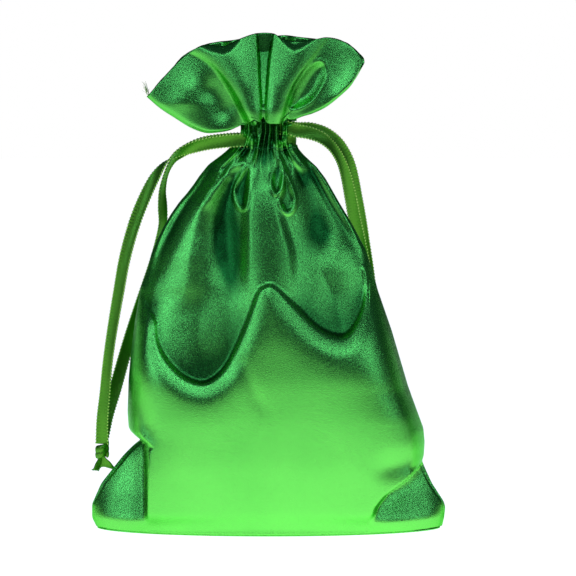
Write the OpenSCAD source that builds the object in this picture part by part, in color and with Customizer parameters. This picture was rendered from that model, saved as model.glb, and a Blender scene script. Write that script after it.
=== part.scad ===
// Fabric gift sack: a stuffed satin drawstring bag standing on its base, drawn closed.
// Millimetres, +Z up, front towards -Y. The origin is the centre of the base, on the ground.

/* [Bag] */
// Width of the bag laid flat, which is also its width across the bottom corners
flat_w = 152; // [120:1:200]
// Height of the two stitch lines' casing above the ground, to its lower stitch line
casing_z = 163; // [150:1:176]
// Thickness of the cloth walls
wall = 1.2; // [0.8:0.1:2]
// Gap between the front and the back panel at the side seams
seam_gap = 0.3; // [0.2:0.1:0.6]

/* [Neck] */
// Width of the gathered neck
neck_w = 28; // [24:1:40]
// Depth of the gathered neck, front to back
neck_d = 18; // [16:1:24]
// Height of the casing between its stitch lines
casing_h = 14; // [13.5:0.5:18]

/* [Heading] */
// Length of the frill above the casing, measured along the cloth
heading_l = 34; // [24:1:40]
// Depth of the frill at its hem, front to back
heading_d = 44; // [30:1:56]

/* [Drawstrings] */
// Width of the satin ribbon
ribbon_w = 6; // [5:0.5:6]
// Thickness of the satin ribbon
ribbon_t = 0.8; // [0.6:0.1:1]
// Radius of the knot that joins a drawstring's two ends
knot_r = 3.4; // [3:0.1:4.5]

/* [Hidden] */

cloth = [0.05, 0.52, 0.14];
cloth_inside = [0.04, 0.38, 0.11];
thread = [0.10, 0.60, 0.20];
ribbon_green = [0.42, 0.72, 0.20];

FRONT = -1;
BACK = 1;
LEFT = -1;
RIGHT = 1;
small_gap = 0.3;
base_t = 1.2;
panel_z = base_t + 0.1;
casing_top = casing_z + casing_h;

// Body outline, one row a height: [z, centre in X, half width, half depth, roundness].
// A roundness of 1 is an ellipse, and a smaller one is nearer to a rectangle.
body_rows = [
    [panel_z, 0, flat_w / 2 - 2, 24, 1.0],
    [7, 0, flat_w / 2, 27, 1.0],
    [18, 0, 72, 29, 0.95],
    [30, 1, 65, 30, 0.9],
    [43, 2, 62, 31, 0.85],
    [64, 0, 60, 32, 0.85],
    [85, -2, 55, 31, 0.85],
    [102, -4, 50, 29, 0.85],
    [120, -4, 46, 26, 0.85],
    [134, -4, 41, 22, 0.85],
    [145, -3, 34, 18, 0.85],
    [153, -2, 27, 14, 0.8],
    [159, -1, 19, 11, 0.7],
    [casing_z, 0, neck_w / 2, neck_d / 2, 0.6],
    [casing_top, 0, neck_w / 2, neck_d / 2, 0.6]];

// The frill fans out: its hem runs from the left tip over the top to the right tip.
fan_left = 156;
fan_right = 42;
fan_z = casing_top + 0.6;
fan_stretch = 1.12;
fan_shares = [0, 0.15, 0.3, 0.45, 0.6, 0.75, 0.88];
hem_shares = [0.885, 1];

// Heights at which the panels' grids have a row
body_heights = [panel_z, 4, 7, 11, 15, 20, 25, 30, 36, 43, 50, 57, 64, 71, 78, 85, 93, 102, 111, 120,
    127, 134, 140, 145, 149, 153, 156, 159, 161, casing_z, casing_z + 0.5, casing_top - 0.5,
    casing_top - 0.1];
grid_step = 6;

// Ribbon heights in the casing: the left drawstring lies below the right one.
left_ribbon_z = casing_z + small_gap + ribbon_w / 2 + 0.2;
right_ribbon_z = left_ribbon_z + ribbon_w + small_gap;
channel_y = neck_d / 2 - wall - small_gap - ribbon_t / 2 - 0.2;
lining_y = channel_y - ribbon_t / 2 - small_gap;
lining_t = 0.8;
loop_x = neck_w / 2 - channel_y - 0.4;
stub_x = 1;
window_x = neck_w / 2 - 6;

// Seams, stitches and knots
allowance_w = 7;
allowance_t = 1;
seam_pitch = 5;
stitch_r = 0.4;
stitch_pitch = 2.5;
stitch_reach = 7.5;
wrap_w = 2.6;
wrap_t = 1.6;
end_l = 7.5;

// Drawstring routes, [x, y, z, roll]. A roll of 90 stands the ribbon on its edge where it runs
// level, and a roll of 0 lays it flat over the shoulder.
left_front_run = [
    [-stub_x, -channel_y, left_ribbon_z, 90], [-8, -channel_y, left_ribbon_z, 90],
    [-14, -channel_y, left_ribbon_z, 90], [-20, -7, 167, 80], [-26, -7, 167, 60],
    [-31, -7, 166, 40], [-36, -6, 163, 20], [-40, -6, 159, 5], [-43, -6, 155, 0]];
left_front_tail = [
    [-44, -6, 153.5, 0], [-47, -6, 148, 0], [-50, -6, 141, 0], [-53, -6, 132, 5],
    [-56, -6, 122, 10], [-59, -6, 112, 20], [-62, -5, 102, 30], [-65, -5, 91, 40],
    [-67, -4, 80, 50], [-69, -3, 69, 60], [-70, -2, 58, 70], [-72, -1, 47, 80], [-73, 0, 36, 90]];
left_back_run = [
    [-stub_x, channel_y, left_ribbon_z, 90], [-8, channel_y, left_ribbon_z, 90],
    [-14, channel_y, left_ribbon_z, 90], [-20, 8, 168, 80], [-26, 8, 168, 60],
    [-31, 9, 167, 40], [-36, 10, 164, 20], [-39, 10, 160, 5], [-41, 11, 155, 0]];
left_back_tail = [
    [-42, 11, 153.5, 0], [-44, 12, 148, 0], [-45, 14, 140, 0], [-47, 16, 131, 5],
    [-49, 18, 121, 10], [-51, 18, 111, 20], [-54, 17, 101, 30], [-57, 15, 91, 40],
    [-60, 13, 81, 50], [-63, 10, 70, 60], [-66, 8, 59, 70], [-70, 5, 48, 80], [-73, 2, 38, 90]];
right_front_run = [
    [stub_x, -channel_y, right_ribbon_z, 90], [8, -channel_y, right_ribbon_z, 90],
    [14, -channel_y, right_ribbon_z, 90], [20, -4, 173, 80], [25, 0, 172, 60],
    [29, 5, 169, 40], [33, 10, 164, 20], [35, 13, 159, 5], [36, 15, 155, 0]];
right_front_tail = [
    [36.5, 15, 153.5, 0], [38, 16, 147, 0], [40, 18, 138, 0], [42, 21, 128, 10],
    [44, 24, 117, 20], [45, 26, 106, 30], [46, 27, 95, 40], [46, 28, 84, 50],
    [46, 30, 73, 60], [46, 30, 62, 70], [46, 30, 51, 80], [46, 30, 40, 90]];
right_back_run = [
    [stub_x, channel_y, right_ribbon_z, 90], [8, channel_y, right_ribbon_z, 90],
    [14, channel_y, right_ribbon_z, 90], [19, 10, 173, 80], [23, 13, 172, 60],
    [27, 17, 169, 40], [31, 20, 164, 20], [34, 22, 159, 5], [35, 23, 155, 0]];
right_back_tail = [
    [35.5, 23, 153.5, 0], [37, 24, 147, 0], [39, 27, 138, 0], [41, 29, 128, 10],
    [43, 32, 117, 20], [44, 34, 106, 30], [45, 35, 95, 40], [45, 36, 84, 50],
    [46, 35, 73, 60], [46, 35, 62, 70], [46, 34, 51, 80], [46, 33, 40, 90]];
left_knot_at = [-73, 1, 33];
right_knot_at = [46, 32, 36];

// How far each cut end leans from straight down, in degrees
left_lean = [12, 30];
right_lean = [-14, 16];

// ---- Functions ----

// a raised to the power p, keeping its sign
function signed_pow(a, p) = sign(a) * pow(abs(a), p);

// A point on the wall: row is a body row, t runs 0 to 180 from the right seam to the left one
function wall_point(row, t, side, inset) = [
    row[1] + (row[2] - inset) * signed_pow(cos(t), row[4]),
    side * (seam_gap / 2 + (row[3] - inset) * signed_pow(sin(t), row[4])),
    row[0]];

// The body row at height z, between its neighbours in rows, turning smoothly
function row_at(rows, z) =
    let (i = max([for (k = [0 : len(rows) - 2]) rows[k][0] <= z ? k : 0]),
        s = (z - rows[i][0]) / (rows[i + 1][0] - rows[i][0]))
    [z, for (c = [1 : 4]) smooth_step(rows, i, s, c)];

// Catmull-Rom value of column c between rows i and i + 1, at share s
function smooth_step(rows, i, s, c) =
    let (n = len(rows) - 1,
        p0 = rows[max(i - 1, 0)][c], p1 = rows[i][c],
        p2 = rows[i + 1][c], p3 = rows[min(i + 2, n)][c])
    p1 + 0.5 * s * (p2 - p0 + s * (2 * p0 - 5 * p1 + 4 * p2 - p3 + s * (3 * (p1 - p2) + p3 - p0)));

// A point of the frill: v runs 0 to 1 from the casing to the hem, t as in wall_point
function fan_point(v, t, side, inset) =
    let (spread = fan_right + (fan_left - fan_right) * t / 180,
        foot_x = neck_w / 2 * signed_pow(cos(t), 0.6),
        foot_y = neck_d / 2 * signed_pow(sin(t), 0.6),
        hem_y = heading_d / 2 * sin(t),
        shrink = 1 - inset / (neck_w / 2) * (1 - 0.6 * v))
    [(foot_x + v * heading_l * fan_stretch * cos(spread)) * shrink,
        side * (seam_gap / 2 + (foot_y + v * (hem_y - foot_y)) - inset * sin(t)),
        fan_z + v * heading_l * sin(spread)];

function unit(v) = v / norm(v);

// Direction of a route at point i
function heading_of(route, i) =
    unit([for (k = [0 : 2]) route[min(i + 1, len(route) - 1)][k] - route[max(i - 1, 0)][k]]);

// The eight corners of a flat ribbon's ring at route point i
function ribbon_ring(route, i) =
    let (t = heading_of(route, i),
        across = unit([0, 1, 0] - t[1] * t),
        up = cross(t, across),
        roll = route[i][3],
        w = cos(roll) * across + sin(roll) * up,
        n = cross(t, w),
        hw = ribbon_w / 2,
        ht = ribbon_t / 2,
        centre = [route[i][0], route[i][1], route[i][2]])
    [for (c = [[-1, -0.5], [-0.9, -1], [0.9, -1], [1, -0.5], [1, 0.5], [0.9, 1], [-0.9, 1], [-1, 0.5]])
        centre + c[0] * hw * w + c[1] * ht * n];

// ---- Shared shapes ----

// A closed solid between two grids of points, each rows by columns: the outer skin and the inner one
module thick_sheet(outer, inner) {
    rows = len(outer);
    cols = len(outer[0]);
    n = rows * cols;
    points = concat([for (r = outer) for (p = r) p], [for (r = inner) for (p = r) p]);
    skin = [for (r = [0 : rows - 2]) for (c = [0 : cols - 2])
        [r * cols + c, r * cols + c + 1, (r + 1) * cols + c + 1, (r + 1) * cols + c]];
    tri_out = [for (f = skin) each [[f[0], f[1], f[2]], [f[0], f[2], f[3]]]];
    tri_in = [for (f = skin) each [[f[0] + n, f[2] + n, f[1] + n], [f[0] + n, f[3] + n, f[2] + n]]];
    top = (rows - 1) * cols;
    rim_foot = [for (c = [0 : cols - 2]) each
        [[c, c + n, c + 1], [c + 1, c + n, c + 1 + n]]];
    rim_top = [for (c = [0 : cols - 2]) each
        [[top + c, top + c + 1, top + c + n], [top + c + 1, top + c + 1 + n, top + c + n]]];
    rim_start = [for (r = [0 : rows - 2]) let (a = r * cols, b = a + cols) each
        [[a, b, a + n], [b, b + n, a + n]]];
    rim_end = [for (r = [0 : rows - 2]) let (a = r * cols + cols - 1, b = a + cols) each
        [[a, a + n, b], [b, a + n, b + n]]];
    polyhedron(points, concat(tri_out, tri_in, rim_foot, rim_top, rim_start, rim_end));
}

// Half of the bag's wall, front or back, between two heights
module half_wall(side, heights, depth_in, thickness) {
    steps = side == FRONT ? [0 : grid_step : 180] : [180 : -grid_step : 0];
    grid = [for (i = [depth_in, depth_in + thickness])
        [for (z = heights) [for (t = steps) wall_point(row_at(body_rows, z), t, side, i)]]];
    thick_sheet(grid[0], grid[1]);
}

// Half of the frill, between two shares of its height
module half_fan(side, shares, inset, thickness) {
    steps = side == FRONT ? [0 : grid_step : 180] : [180 : -grid_step : 0];
    grid = [for (i = [inset, inset + thickness])
        [for (v = shares) [for (t = steps) fan_point(v, t, side, i)]]];
    thick_sheet(grid[0], grid[1]);
}

// The side openings that the drawstrings leave the casing by
module side_windows() {
    for (side = [LEFT, RIGHT])
        translate([side * (window_x + 10), 0, casing_z + casing_h / 2])
            cube([20, neck_d + 4, casing_h - 0.4], center = true);
}

// A flat ribbon swept along a route
module ribbon(route) {
    rings = [for (i = [0 : len(route) - 1]) ribbon_ring(route, i)];
    count = len(rings);
    sides = [for (i = [0 : count - 2]) for (k = [0 : 7]) let (a = i * 8 + k, b = i * 8 + (k + 1) % 8)
        each [[a, a + 8, b], [b, a + 8, b + 8]]];
    polyhedron([for (r = rings) for (p = r) p],
        concat(sides, [[for (k = [0 : 7]) k]], [[for (k = [7 : -1 : 0]) (count - 1) * 8 + k]]));
}

// The flat ring that a drawstring makes inside the casing, round the end away from its exit
module casing_loop(exit_side, z) {
    far = -exit_side;
    outer_r = channel_y + ribbon_t / 2;
    inner_r = channel_y - ribbon_t / 2;
    run = loop_x + stub_x - small_gap;
    translate([0, 0, z - ribbon_w / 2])
        linear_extrude(ribbon_w) {
            difference() {
                translate([far * loop_x, 0])
                    circle(r = outer_r, $fn = 64);
                translate([far * loop_x, 0])
                    circle(r = inner_r, $fn = 64);
                translate([far * (loop_x - 15), 0])
                    square([30, 30], center = true);
            }
            for (side = [FRONT, BACK])
                translate([far * (loop_x - run / 2), side * channel_y])
                    square([run, ribbon_t], center = true);
        }
}

// An overhand knot: a round body with the ribbon wrapped once round it
module knot(at) {
    translate(at) {
        sphere(r = knot_r, $fn = 32);
        rotate([0, 25, 0])
            rotate_extrude($fn = 48)
                translate([knot_r - 0.2, 0])
                    square([wrap_t, wrap_w], center = true);
    }
}

// The two cut ends of the ribbon below a knot, each with its own lean
module ribbon_ends(at, lean) {
    for (end = [0, 1])
        translate([at[0], at[1] + (2 * end - 1) * ribbon_t, at[2] - knot_r + 0.8])
            rotate([90, lean[end], 0])
                linear_extrude(ribbon_t, center = true)
                    polygon([[-1.6, 0], [1.6, 0], [2.6, -end_l], [0.4, 1.3 - end_l], [-2.6, -end_l - 0.5]]);
}

// A row of stitches through the casing's layers, at height z
module casing_stitches(z) {
    for (side = [FRONT, BACK])
        for (x = [-stitch_reach : stitch_pitch : stitch_reach])
            translate([x, side * (neck_d / 2 + 0.2), z])
                rotate([side * 90, 0, 0])
                    cylinder(h = neck_d / 2 - lining_y + 1.4, r = stitch_r, $fn = 16);
}

// The turned-in seam allowance on one side of the bag
module side_allowance(side) {
    edge = [for (z = [6 : 6 : 150]) let (r = row_at(body_rows, z))
        [r[1] + side * (r[2] - wall - 0.6), z]];
    inner = [for (i = [len(edge) - 1 : -1 : 0]) [edge[i][0] - side * allowance_w, edge[i][1]]];
    rotate([90, 0, 0])
        linear_extrude(allowance_t, center = true)
            polygon(concat(edge, inner));
}

// Stitches along a side seam allowance, on its front face
module side_stitches(side) {
    for (z = [2 * seam_pitch : seam_pitch : 145])
        let (r = row_at(body_rows, z))
            translate([r[1] + side * (r[2] - wall - 4), -0.2 - allowance_t / 2, z])
                cube([0.5, 0.4, 3], center = true);
}

// The bag's front or back wall, with its ends of the casing open for the ribbons
module panel(side) {
    difference() {
        half_wall(side, body_heights, 0, wall);
        side_windows();
    }
}

// The turned-in layer behind the casing, front or back
module casing_lining(side) {
    translate([0, side * (lining_y - lining_t / 2), casing_z + casing_h / 2])
        cube([2 * window_x - 1, lining_t, casing_h], center = true);
}

// ---- Sub-parts ----

module front_panel() { color(cloth) panel(FRONT); }

module back_panel() { color(cloth) panel(BACK); }

module base_fold() {
    color(cloth)
        linear_extrude(base_t)
            polygon([for (t = [0 : 5 : 355]) [(flat_w / 2 - 2) * cos(t), body_rows[0][3] * sin(t)]]);
}

module bottom_seam_allowance() {
    color(cloth_inside)
        translate([0, 0, base_t + 3])
            cube([flat_w - 40, allowance_t, 6], center = true);
}

module left_side_seam() { color(cloth_inside) side_allowance(LEFT); }

module right_side_seam() { color(cloth_inside) side_allowance(RIGHT); }

module left_seam_stitches() { color(thread) side_stitches(LEFT); }

module right_seam_stitches() { color(thread) side_stitches(RIGHT); }

module front_casing_lining() { color(cloth_inside) casing_lining(FRONT); }

module back_casing_lining() { color(cloth_inside) casing_lining(BACK); }

module lower_casing_stitches() { color(thread) casing_stitches(casing_z + 0.1); }

module upper_casing_stitches() { color(thread) casing_stitches(casing_top - 0.6); }

module left_ribbon_in_casing() { color(ribbon_green) casing_loop(LEFT, left_ribbon_z); }

module right_ribbon_in_casing() { color(ribbon_green) casing_loop(RIGHT, right_ribbon_z); }

module front_heading() { color(cloth) half_fan(FRONT, fan_shares, 0, wall); }

module back_heading() { color(cloth) half_fan(BACK, fan_shares, 0, wall); }

module front_top_hem() { color(cloth) half_fan(FRONT, hem_shares, -0.2, wall + 0.4); }

module back_top_hem() { color(cloth) half_fan(BACK, hem_shares, -0.2, wall + 0.4); }

module left_front_ribbon_run() { color(ribbon_green) ribbon(left_front_run); }

module left_back_ribbon_run() { color(ribbon_green) ribbon(left_back_run); }

module left_front_ribbon_tail() { color(ribbon_green) ribbon(left_front_tail); }

module left_back_ribbon_tail() { color(ribbon_green) ribbon(left_back_tail); }

module left_knot() { color(ribbon_green) knot(left_knot_at); }

module left_ribbon_ends() { color(ribbon_green) ribbon_ends(left_knot_at, left_lean); }

module right_front_ribbon_run() { color(ribbon_green) ribbon(right_front_run); }

module right_back_ribbon_run() { color(ribbon_green) ribbon(right_back_run); }

module right_front_ribbon_tail() { color(ribbon_green) ribbon(right_front_tail); }

module right_back_ribbon_tail() { color(ribbon_green) ribbon(right_back_tail); }

module right_knot() { color(ribbon_green) knot(right_knot_at); }

module right_ribbon_ends() { color(ribbon_green) ribbon_ends(right_knot_at, right_lean); }

front_panel();
back_panel();
base_fold();
bottom_seam_allowance();
left_side_seam();
right_side_seam();
left_seam_stitches();
right_seam_stitches();
front_casing_lining();
back_casing_lining();
lower_casing_stitches();
upper_casing_stitches();
left_ribbon_in_casing();
right_ribbon_in_casing();
front_heading();
back_heading();
front_top_hem();
back_top_hem();
left_front_ribbon_run();
left_back_ribbon_run();
left_front_ribbon_tail();
left_back_ribbon_tail();
left_knot();
left_ribbon_ends();
right_front_ribbon_run();
right_back_ribbon_run();
right_front_ribbon_tail();
right_back_ribbon_tail();
right_knot();
right_ribbon_ends();
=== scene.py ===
import math

import bpy
import numpy as np
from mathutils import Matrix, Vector


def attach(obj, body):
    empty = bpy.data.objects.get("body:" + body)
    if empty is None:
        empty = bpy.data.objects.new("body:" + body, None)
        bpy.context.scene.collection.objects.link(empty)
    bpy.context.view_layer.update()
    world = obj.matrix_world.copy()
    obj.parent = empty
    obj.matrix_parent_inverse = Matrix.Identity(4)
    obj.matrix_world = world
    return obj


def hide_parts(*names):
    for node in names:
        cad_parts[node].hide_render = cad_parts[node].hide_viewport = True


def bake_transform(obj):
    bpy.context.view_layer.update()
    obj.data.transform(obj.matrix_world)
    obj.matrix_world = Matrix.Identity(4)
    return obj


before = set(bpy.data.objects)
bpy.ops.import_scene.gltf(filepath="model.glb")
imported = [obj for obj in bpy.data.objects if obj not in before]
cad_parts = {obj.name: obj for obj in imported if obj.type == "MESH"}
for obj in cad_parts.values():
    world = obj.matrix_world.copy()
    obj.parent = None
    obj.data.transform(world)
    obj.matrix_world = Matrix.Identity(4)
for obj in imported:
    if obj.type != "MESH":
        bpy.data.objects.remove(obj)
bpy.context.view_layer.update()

# The fabric gift sack: a stuffed satin drawstring bag. Metres, +Z up, front towards -Y.
# Shapes are worked out in millimetres, in the CAD frame, and turned to metres as meshes are made.

MM = 0.001
SEED = 7
CLOTH_THICK = 0.4

FRONT, BACK = -1, 1
LEFT, RIGHT = -1, 1


# ---------------------------------------------------------------- camera

CAMERA_DISTANCE = 1.15
CAMERA_ELEVATION = math.radians(5)
CAMERA_AIM = Vector((0.0083, 0, 0.1032))
VIEW_WIDTH = 0.246
SENSOR = 36


def make_camera():
    """The photo's view: level with the bag's middle, five degrees above it."""
    data = bpy.data.cameras.new("camera")
    camera = bpy.data.objects.new("camera", data)
    bpy.context.scene.collection.objects.link(camera)
    back = Vector((0, -math.cos(CAMERA_ELEVATION), math.sin(CAMERA_ELEVATION)))
    camera.location = CAMERA_AIM + back * CAMERA_DISTANCE
    camera.rotation_euler = (-back).to_track_quat("-Z", "Y").to_euler()
    data.sensor_width = SENSOR
    data.lens = SENSOR * CAMERA_DISTANCE / VIEW_WIDTH
    data.clip_start = 0.05
    data.clip_end = 20
    bpy.context.scene.camera = camera


make_camera()


# ---------------------------------------------------------------- shared maths

def smooth(t):
    """Smooth step of t from 0 to 1."""
    t = np.clip(t, 0, 1)
    return t * t * (3 - 2 * t)


def bell(d, width):
    """1 at d = 0, falling away over width."""
    return np.exp(-(d / width) ** 2)


def rounded(x, points, radius):
    """The line through points, (x, y) pairs, with its corners rounded over radius."""
    xs, ys = np.array(points, float).T
    total, weight = 0, 0
    for k in range(-4, 5):
        w = math.exp(-(k / 2.2) ** 2)
        total = total + w * np.interp(x + radius * k / 4, xs, ys)
        weight += w
    return total / weight


def distance_along(x, z, line):
    """How far each point (x, z) is from a polyline, and how far along it, 0 to 1, it comes nearest."""
    line = np.array(line, float)
    steps = np.linalg.norm(np.diff(line, axis=0), axis=1)
    start = np.concatenate([[0], np.cumsum(steps)])
    best = np.full(np.shape(x), 1e9)
    along = np.zeros(np.shape(x))
    for i, length in enumerate(steps):
        (ax, az), (bx, bz) = line[i], line[i + 1]
        t = np.clip(((x - ax) * (bx - ax) + (z - az) * (bz - az)) / length ** 2, 0, 1)
        d = np.hypot(x - ax - t * (bx - ax), z - az - t * (bz - az))
        near = d < best
        best = np.where(near, d, best)
        along = np.where(near, (start[i] + t * length) / start[-1], along)
    return best, along


def spline(points, count):
    """count points evenly along a Catmull-Rom curve through points."""
    p = np.array(points, float)
    p = np.concatenate([[2 * p[0] - p[1]], p, [2 * p[-1] - p[-2]]])
    fine = []
    for i in range(1, len(p) - 2):
        for s in np.linspace(0, 1, 24, endpoint=False):
            a, b, c, d = p[i - 1], p[i], p[i + 1], p[i + 2]
            fine.append(b + 0.5 * s * (c - a + s * (2 * a - 5 * b + 4 * c - d + s * (3 * (b - c) + d - a))))
    fine = np.array([*fine, p[-2]])
    run = np.concatenate([[0], np.cumsum(np.linalg.norm(np.diff(fine[:, :3], axis=0), axis=1))])
    at = np.linspace(0, run[-1], count)
    return np.stack([np.interp(at, run, fine[:, k]) for k in range(fine.shape[1])], axis=1)


# ---------------------------------------------------------------- mesh helpers

def new_mesh(name, points_mm, faces, material, uv=None):
    """A smooth-shaded mesh object from points in millimetres."""
    mesh = bpy.data.meshes.new(name)
    mesh.from_pydata((np.asarray(points_mm) * MM).tolist(), [], faces)
    mesh.update()
    mesh.polygons.foreach_set("use_smooth", [True] * len(mesh.polygons))
    if uv is not None:
        layer = mesh.uv_layers.new(name="cloth")
        index = np.zeros(len(mesh.loops), int)
        mesh.loops.foreach_get("vertex_index", index)
        layer.data.foreach_set("uv", np.asarray(uv, np.float32)[index].ravel())
    obj = bpy.data.objects.new(name, mesh)
    bpy.context.scene.collection.objects.link(obj)
    mesh.materials.append(material)
    return obj


def grid_faces(rows, cols, flip=False):
    """Faces of a grid of points, rows by columns."""
    faces = []
    for r in range(rows - 1):
        for c in range(cols - 1):
            a = r * cols + c
            quad = (a, a + 1, a + cols + 1, a + cols)
            faces.append(quad[::-1] if flip else quad)
    return faces


def tube_faces(first, rings, sides, capped=True):
    """Faces of a tube whose points go round ring after ring, beginning at the point numbered first."""
    faces = []
    for r in range(rings - 1):
        for k in range(sides):
            a, b = first + r * sides + k, first + r * sides + (k + 1) % sides
            faces.append((a, b, b + sides, a + sides))
    if capped:
        last = first + (rings - 1) * sides
        faces += [tuple(range(first + sides - 1, first - 1, -1)), tuple(range(last, last + sides))]
    return faces


def thick_mesh(name, points_mm, faces, material, thickness):
    """A cloth piece with a real thickness: points are its outer skin, and its rim is shaded flat."""
    points = np.asarray(points_mm, float)
    quads = np.array(faces)
    corners = points[quads]
    normal = np.cross(corners[:, 2] - corners[:, 0], corners[:, 3] - corners[:, 1])
    total = np.zeros_like(points)
    for k in range(4):
        np.add.at(total, quads[:, k], normal)
    total /= np.maximum(np.linalg.norm(total, axis=1), 1e-9)[:, None]
    count = len(points)
    sides = np.concatenate([quads[:, [k, (k + 1) % 4]] for k in range(4)])
    keys = {tuple(side) for side in sides.tolist()}
    rim = [(b, a, a + count, b + count) for a, b in keys if (b, a) not in keys]
    rim.sort()
    inner = (quads[:, ::-1] + count).tolist()
    obj = new_mesh(name, np.concatenate([points, points - total * thickness]),
                   [*faces, *map(tuple, inner), *rim], material)
    smooth_faces = np.ones(len(obj.data.polygons), bool)
    smooth_faces[2 * len(quads):] = False
    obj.data.polygons.foreach_set("use_smooth", smooth_faces)
    return obj


def blurred(values, reach):
    """A grid of values averaged over reach points in every direction, three times over."""
    for _ in range(3):
        for axis in (0, 1):
            margin = [(reach + 1, reach) if a == axis else (0, 0) for a in (0, 1)]
            total = np.cumsum(np.pad(values, margin, mode="edge"), axis=axis)
            count = total.shape[axis]
            high = np.take(total, range(2 * reach + 1, count), axis=axis)
            low = np.take(total, range(count - 2 * reach - 1), axis=axis)
            values = (high - low) / (2 * reach + 1)
    return values


def paint_hollow_shade(obj, depth, reach, full, most, least=0):
    """Marks how far each point of a grid lies in a hollow, as painted shade: the cloth's colour is darkened
    there.
    """
    hollow_shade = np.clip(least + most * smooth((blurred(depth, reach) - depth) / full), 0, 1).ravel()
    marks = obj.data.attributes.new("hollow_shade", "FLOAT", "POINT")
    marks.data.foreach_set("value", np.concatenate([hollow_shade, hollow_shade]).astype(np.float32))


def sheet_mesh(name, grid, material, thickness=CLOTH_THICK, flip=False):
    """A cloth sheet from a grid of points (rows, columns, 3)."""
    rows, cols = grid.shape[:2]
    return thick_mesh(name, grid.reshape(-1, 3), grid_faces(rows, cols, flip), material, thickness)


# ---------------------------------------------------------------- materials

def noise(tree, place, scale, detail):
    """A noise texture fixed to the object."""
    made = tree.nodes.new("ShaderNodeTexNoise")
    made.inputs["Scale"].default_value = scale
    made.inputs["Detail"].default_value = detail
    tree.links.new(place.outputs["Object"], made.inputs["Vector"])
    return made


def math_node(tree, operation, *values):
    """The result of one sum on numbers or other nodes' results."""
    made = tree.nodes.new("ShaderNodeMath")
    made.operation = operation
    for i, value in enumerate(values):
        if isinstance(value, (int, float)):
            made.inputs[i].default_value = value
        else:
            tree.links.new(value, made.inputs[i])
    return made.outputs[0]


def mix_node(tree, factor, first, second):
    """A mix of two colours, each a constant or another node's result."""
    made = tree.nodes.new("ShaderNodeMix")
    made.data_type = "RGBA"
    for key, colour in (("A", first), ("B", second)):
        if isinstance(colour, tuple):
            made.inputs[key].default_value = (*colour, 1)
        else:
            tree.links.new(colour, made.inputs[key])
    tree.links.new(factor, made.inputs["Factor"])
    return made.outputs["Result"]


# The satin's colour in its hollows, a painted shade, and the tint of what it reflects where it is seen
# edge-on
HOLLOW_SHADE_COLOUR = (0.012, 0.15, 0.02)
EDGE_TINT = (0.35, 0.75, 0.35)


def satin_material(name, light, dark, metallic, roughness, bump):
    """Satin cloth: a tinted sheen, a fine weave that sparkles, and slow changes of colour."""
    material = bpy.data.materials.new(name)
    material.use_nodes = True
    tree = material.node_tree
    shader = tree.nodes["Principled BSDF"]
    place = tree.nodes.new("ShaderNodeTexCoord")
    cloud = noise(tree, place, 26, 3)
    sparkle = noise(tree, place, 2600, 1)
    weave = noise(tree, place, 5200, 0)

    share = math_node(tree, "MULTIPLY_ADD", sparkle.outputs["Fac"], 0.7, cloud.outputs["Fac"])
    share.node.use_clamp = True
    # Painted shade: the base colour darkens towards the hollow colour where the mesh is marked as lying in a
    # hollow, in place of shadow
    hollow_shade = tree.nodes.new("ShaderNodeAttribute")
    hollow_shade.attribute_name = "hollow_shade"
    shaded_base = mix_node(tree, hollow_shade.outputs["Fac"], mix_node(tree, share, dark, light), HOLLOW_SHADE_COLOUR)
    tree.links.new(shaded_base, shader.inputs["Base Color"])

    rough = tree.nodes.new("ShaderNodeMapRange")
    rough.inputs["To Min"].default_value = roughness - 0.08
    rough.inputs["To Max"].default_value = roughness + 0.08
    tree.links.new(sparkle.outputs["Fac"], rough.inputs["Value"])
    tree.links.new(rough.outputs["Result"], shader.inputs["Roughness"])

    normal = None
    for grain, distance in ((sparkle, 0.00014), (weave, 0.00007)):
        height = tree.nodes.new("ShaderNodeBump")
        height.inputs["Strength"].default_value = bump
        height.inputs["Distance"].default_value = distance
        tree.links.new(grain.outputs["Fac"], height.inputs["Height"])
        if normal:
            tree.links.new(normal.outputs["Normal"], height.inputs["Normal"])
        normal = height
    tree.links.new(normal.outputs["Normal"], shader.inputs["Normal"])

    shader.inputs["Metallic"].default_value = metallic
    shader.inputs["Specular Tint"].default_value = (*EDGE_TINT, 1)
    return material


def plain_material(name, colour, roughness):
    """A material of one colour."""
    material = bpy.data.materials.new(name)
    material.use_nodes = True
    shader = material.node_tree.nodes["Principled BSDF"]
    shader.inputs["Base Color"].default_value = (*colour, 1)
    shader.inputs["Roughness"].default_value = roughness
    return material


SATIN = satin_material("satin", (0.16, 0.74, 0.10), (0.09, 0.52, 0.065), 0.96, 0.25, 0.48)
SATIN_REVERSE = satin_material("satin_reverse", (0.04, 0.34, 0.08), (0.02, 0.24, 0.05), 0.2, 0.6, 0.4)
RIBBON = satin_material("ribbon", (0.10, 0.34, 0.022), (0.035, 0.17, 0.008), 0.7, 0.34, 0.4)
# A lighter copy of the ribbon for its picot loops: a painted highlight
RIBBON_PICOT_HIGHLIGHT = satin_material("ribbon_picot_highlight", (0.55, 0.85, 0.16), (0.40, 0.72, 0.10), 0.4, 0.4, 0.4)
THREAD = plain_material("thread", (0.02, 0.2, 0.04), 0.7)
TUFT = plain_material("tuft", (0.55, 0.72, 0.25), 0.7)


# ---------------------------------------------------------------- drawstrings

RIBBON_WIDTH = 6.0
RIBBON_THICK = 0.5
PICOT_PITCH = 1.4
PICOT_DEPTH = 0.4

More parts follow.
